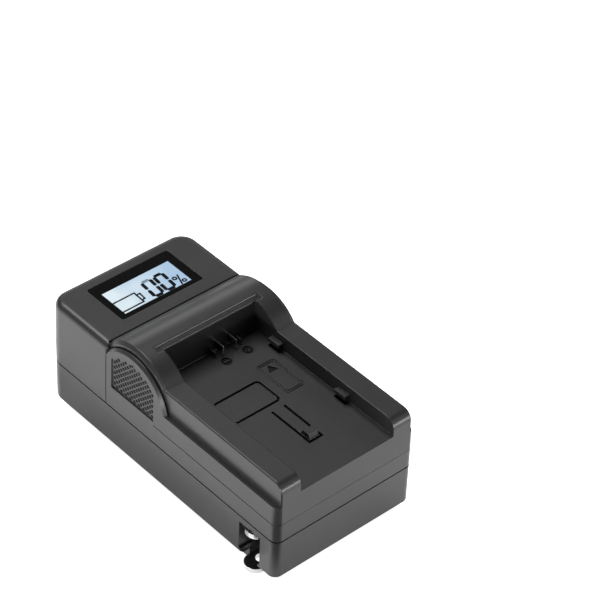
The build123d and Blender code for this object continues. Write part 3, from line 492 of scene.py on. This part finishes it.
# marks on the display, just over the window's face, in millimetres
displayMarks = {
    "ink": "#080b12",
    "faintInk": "#7f94a6",
    "thick": 0.05,
    "segment": 1.08,
    "tip": 0.3,
    "gapPart": 0.7,
    "line": 0.5,
    "digitMiddles": (0.62, 4.92),
    "digitHalf": 1.46,
    "digitLow": 29.95,
    "digitHigh": 36.9,
    "lean": 0.07,
    "battery": ((-12.05, 34.8), (-4.75, 34.85), (-4.85, 30.3), (-11.95, 30.25)),
    "cap": ((-4.8, 33.75), (-3.6, 33.75), (-3.85, 31.25), (-4.8, 31.1)),
    "percentRings": ((8.0, 32.75), (9.75, 30.5)),
    "percentRadius": 0.8,
    "percentSides": 20,
    "percentBar": ((9.5, 33.4), (8.25, 29.7)),
}

# switched liquid crystal behind polished glass: near black, smooth, without a gloss of its own
crystalInk = {"grain": 0.5, "detail": 2.0, "lift": 1.3, "rough": 0.25, "specular": 0.25}


def makeCrystalInk(name, ink, look):
    finish, tree, shader, place = startFinish(name)
    grain = addNode(tree, "ShaderNodeTexNoise", {"Vector": place, "Scale": perMetre(look["grain"]),
                                                 "Detail": look["detail"]})
    tint = addNode(tree, "ShaderNodeHueSaturation", {"Color": linear(ink), "Value": look["lift"]})
    colour = addNode(tree, "ShaderNodeMix", {"Factor": grain.outputs["Fac"], 6: linear(ink),
                                             7: tint.outputs[0]}, data_type="RGBA")
    tree.links.new(colour.outputs[2], shader.inputs["Base Color"])
    shader.inputs["Roughness"].default_value = look["rough"]
    shader.inputs["Specular IOR Level"].default_value = look["specular"]
    return finish


def thicken(offset):  # in edit mode: draw the whole flat shape out along the offset and close it
    bpy.ops.mesh.select_all(action="SELECT")
    bpy.ops.mesh.extrude_region_move(TRANSFORM_OT_translate={"value": offset})
    bpy.ops.mesh.select_all(action="SELECT")
    bpy.ops.mesh.normals_make_consistent(inside=False)
    bpy.ops.object.mode_set(mode="OBJECT")


def addBar(start, end, width, low, thick, tip):  # a flat bar with cut corners between two points
    length = hypot(end[0] - start[0], end[1] - start[1]) + width
    turn = atan2(end[1] - start[1], end[0] - start[0])
    bpy.ops.object.select_all(action="DESELECT")
    bpy.ops.mesh.primitive_plane_add(size=1.0, rotation=(0, 0, turn), location=(
        (start[0] + end[0]) / 2 * mm, (start[1] + end[1]) / 2 * mm, low))
    bar = bpy.context.active_object
    bar.scale = (length * mm, width * mm, 1.0)
    bpy.ops.object.transform_apply(location=True, rotation=True, scale=True)
    bpy.ops.object.mode_set(mode="EDIT")
    bpy.ops.mesh.select_all(action="SELECT")
    if tip > 0:
        bpy.ops.mesh.bevel(offset=width * tip * mm, segments=1, affect="VERTICES")
    thicken((0, 0, thick * mm))
    return bar


def addRing(middle, radius, width, low, thick, sides):  # a flat ring, a filled circle inset and opened
    bpy.ops.object.select_all(action="DESELECT")
    bpy.ops.mesh.primitive_circle_add(vertices=sides, radius=radius * mm, fill_type="NGON",
                                      location=(middle[0] * mm, middle[1] * mm, low))
    ring = bpy.context.active_object
    bpy.ops.object.transform_apply(location=True, rotation=True, scale=True)
    bpy.ops.object.mode_set(mode="EDIT")
    bpy.ops.mesh.select_all(action="SELECT")
    bpy.ops.mesh.inset(thickness=width * mm)
    bpy.ops.mesh.delete(type="FACE")
    thicken((0, 0, thick * mm))
    return ring


def settle(parts, name, finish, body):  # join the strokes of one mark and hang it on its body
    bpy.ops.object.select_all(action="DESELECT")
    for part in parts:
        part.select_set(True)
    bpy.context.view_layer.objects.active = parts[0]
    if len(parts) > 1:
        bpy.ops.object.join()
    piece = bpy.context.active_object
    piece.name = name
    piece.data.name = name
    bpy.ops.object.transform_apply(location=True, rotation=True, scale=True)
    piece.data.materials.clear()
    piece.data.materials.append(finish)
    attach(piece, body)


def outline(points, width, low, thick):  # bars from point to point, the last side left open
    return [addBar(points[i], points[i + 1], width, low, thick, 0.0) for i in range(len(points) - 1)]


def drawDisplay(look):
    ink = makeCrystalInk("liquid_crystal_dark", look["ink"], crystalInk)
    faint = makeCrystalInk("liquid_crystal_faint", look["faintInk"], crystalInk)
    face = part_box("display_window")[1][2]
    thick, line, segment, tip = (look[key] for key in ("thick", "line", "segment", "tip"))
    high, low = look["digitHigh"], look["digitLow"]
    middle = (high + low) / 2
    gap = segment * look["gapPart"]
    for index, centre in enumerate(look["digitMiddles"]):
        strokes = []
        left, right = centre - look["digitHalf"], centre + look["digitHalf"]
        for x in (left, right):
            for y0, y1 in ((low + gap, middle - gap), (middle + gap, high - gap)):
                start = (x + look["lean"] * (y0 - middle), y0)
                end = (x + look["lean"] * (y1 - middle), y1)
                strokes.append(addBar(start, end, segment, face, thick, tip))
        for y in (low, high):
            slide = look["lean"] * (y - middle)
            start, end = (left + gap + slide, y), (right - gap + slide, y)
            strokes.append(addBar(start, end, segment, face, thick, tip))
        if index == 0:
            settle([strokes.pop()], "display_faint_stroke", faint, "case")
        settle(strokes, "display_digit_%d" % index, ink, "case")
    settle(outline(look["battery"], line, face, thick) + outline(look["cap"], line, face, thick),
           "display_battery", ink, "case")
    percent = [addRing(place, look["percentRadius"], line, face, thick, look["percentSides"])
               for place in look["percentRings"]]
    percent.append(addBar(*look["percentBar"], line, face, thick, 0.0))
    settle(percent, "display_percent", ink, "case")


drawDisplay(displayMarks)
print("display marked")

# polarity marks: black ink on the floor of each round pocket, with bars moulded up from it
polarityMarks = {
    "ink": "#0c0c0d",
    "floor": 32.1,
    "inkThick": 0.03,
    "disc": 1.55,
    "discPart": 0.95,
    "discSides": 32,
    "line": 0.42,
    "arm": 0.62,
    "barThick": 0.38,
    "minus": (1.65, 2.5),
    "plus": (9.2, 2.5),
}

# pad printing ink, thinly and unevenly laid: matt black, worn a little lighter in places
padInk = {"worn": "#18181a", "grain": 0.3, "detail": 3.0, "rough": 0.7, "specular": 0.15}


def makePadInk(name, ink, look):
    finish, tree, shader, place = startFinish(name)
    grain = addNode(tree, "ShaderNodeTexNoise", {"Vector": place, "Scale": perMetre(look["grain"]),
                                                 "Detail": look["detail"]})
    colour = addNode(tree, "ShaderNodeMix", {"Factor": grain.outputs["Fac"], 6: linear(ink),
                                             7: linear(look["worn"])}, data_type="RGBA")
    tree.links.new(colour.outputs[2], shader.inputs["Base Color"])
    shader.inputs["Roughness"].default_value = look["rough"]
    shader.inputs["Specular IOR Level"].default_value = look["specular"]
    return finish


def drawPolarity(look, finish):
    ink = makePadInk("pad_print_ink", look["ink"], padInk)
    low = look["floor"] * mm
    arm, line, thick = look["arm"], look["line"], look["barThick"]
    for name in ("minus", "plus"):
        x, y = look[name]
        disc = addRing((x, y), look["disc"], look["disc"] * look["discPart"], low, look["inkThick"],
                       look["discSides"])
        settle([disc], "pocket_ink_" + name, ink, "case")
        strokes = [addBar((x - arm, y), (x + arm, y), line, low, thick, 0.0)]
        if name == "plus":
            strokes.append(addBar((x, y - arm), (x, y + arm), line, low, thick, 0.0))
        settle(strokes, "polarity_" + name, finish, "case")


drawPolarity(polarityMarks, sparkBlack)

# ink laid in the engraved lines of the bay floor: the label frame and the arrow
engravedInk = {
    "ink": "#101011",
    "framePoints": ((-12.0, -8.93), (1.7, -8.93), (2.57, -9.28), (2.93, -10.15), (2.93, -17.05),
                    (2.57, -17.92), (1.7, -18.27), (-12.0, -18.27)),
    "frameLow": 31.7,
    "line": 0.62,
    "thick": 0.05,
    "arrow": (9.15, -7.6),
    "arrowLow": 32.0,
    "arrowRadius": 1.75,
    "arrowPart": 0.45,
    "arrowSides": 3,
}


def drawEngravedInk(look):
    ink = makePadInk("engraving_ink", look["ink"], padInk)
    frameBars = outline(look["framePoints"], look["line"], look["frameLow"] * mm, look["thick"])
    settle(frameBars, "label_frame_ink", ink, "case")
    arrow = addRing(look["arrow"], look["arrowRadius"], look["arrowRadius"] * look["arrowPart"],
                    look["arrowLow"] * mm, look["thick"], look["arrowSides"])
    settle([arrow], "arrow_ink", ink, "case")


drawEngravedInk(engravedInk)
print("bay marked")

# fine mould beads: at the foot of the bay's walls and along the strip over its rear wall
mouldBeads = (
    {"name": "bay_bead_right", "ends": ((16.15, -47.2), (16.15, 7.6)), "wide": 0.4,
     "low": 32.5, "high": 0.32, "lean": (0.3, 0.0)},
    {"name": "bay_bead_rear", "ends": ((-16.1, 7.89), (16.1, 7.89)), "wide": 0.22,
     "low": 32.5, "high": 0.18, "lean": (0.0, 0.16)},
    {"name": "strip_bead_front", "ends": ((-16.1, 8.2), (16.1, 8.2)), "wide": 0.4,
     "low": 42.55, "high": 0.3, "lean": (0.0, 0.16)},
    {"name": "strip_bead_middle", "ends": ((-18.0, 8.95), (18.0, 8.95)), "wide": 0.3,
     "low": 42.85, "high": 0.22, "lean": (0.0, 0.12)},
    {"name": "strip_bead_rear", "ends": ((-18.0, 9.55), (18.0, 9.55)), "wide": 0.4,
     "low": 43.05, "high": 0.42, "lean": (0.0, 0.2)},
)


def addBead(look):  # a low bar whose near face leans back
    bead = addBar(*look["ends"], look["wide"], look["low"] * mm, look["high"], 0.0)
    lean = Vector((*look["lean"], 0.0)) * mm
    start = Vector((*look["ends"][0], 0.0)) * mm
    halfway = (look["low"] + look["high"] / 2) * mm
    bpy.ops.object.mode_set(mode="EDIT")
    bpy.ops.mesh.select_mode(type="VERT")
    bpy.ops.mesh.select_all(action="DESELECT")
    bpy.ops.object.mode_set(mode="OBJECT")
    for corner in bead.data.vertices:
        corner.select = corner.co.z > halfway and (corner.co - start).dot(lean) < 0
    bpy.ops.object.mode_set(mode="EDIT")
    bpy.ops.transform.translate(value=lean)
    bpy.ops.object.mode_set(mode="OBJECT")
    return bead


for look in mouldBeads:
    settle([addBead(look)], look["name"], sparkBlack, "case")
print("beads moulded")

# painted shade behind the side grilles: matt black sheets just over the floor of the pits, seen through the
# slots where there is only shade
grillePaintedShade = {"ink": "#050505", "axis": (11.5, 27.1), "radius": 12.3, "sides": 64,
                "front": 2.0, "rear": 20.2, "base": 25.4, "face": 23.88, "thick": 0.05}


def addGrilleShade(look, side):  # a disc cut straight at its front, rear and foot
    bpy.ops.object.select_all(action="DESELECT")
    middle = (side * look["face"] * mm, look["axis"][0] * mm, look["axis"][1] * mm)
    bpy.ops.mesh.primitive_circle_add(vertices=look["sides"], radius=look["radius"] * mm, fill_type="NGON",
                                      rotation=(0, radians(90), 0), location=middle)
    paintedShade = bpy.context.active_object
    bpy.ops.object.transform_apply(location=True, rotation=True, scale=True)
    bpy.ops.object.mode_set(mode="EDIT")
    cuts = (((0, look["front"] * mm, 0), (0, -1, 0)), ((0, look["rear"] * mm, 0), (0, 1, 0)),
            ((0, 0, look["base"] * mm), (0, 0, -1)))
    for point, outward in cuts:
        bpy.ops.mesh.select_all(action="SELECT")
        bpy.ops.mesh.bisect(plane_co=point, plane_no=outward, clear_outer=True)
    thicken((-side * look["thick"] * mm, 0, 0))
    return paintedShade


# the painted shade sheets: near black, made with the pad ink finish
grilleShadeBlack = makePadInk("painted_shade_sheet_black", grillePaintedShade["ink"], padInk)
for side, sideName in ((-1, "left"), (1, "right")):
    settle([addGrilleShade(grillePaintedShade, side)], "grille_painted_shade_" + sideName, grilleShadeBlack, "case")
print("grilles screened")
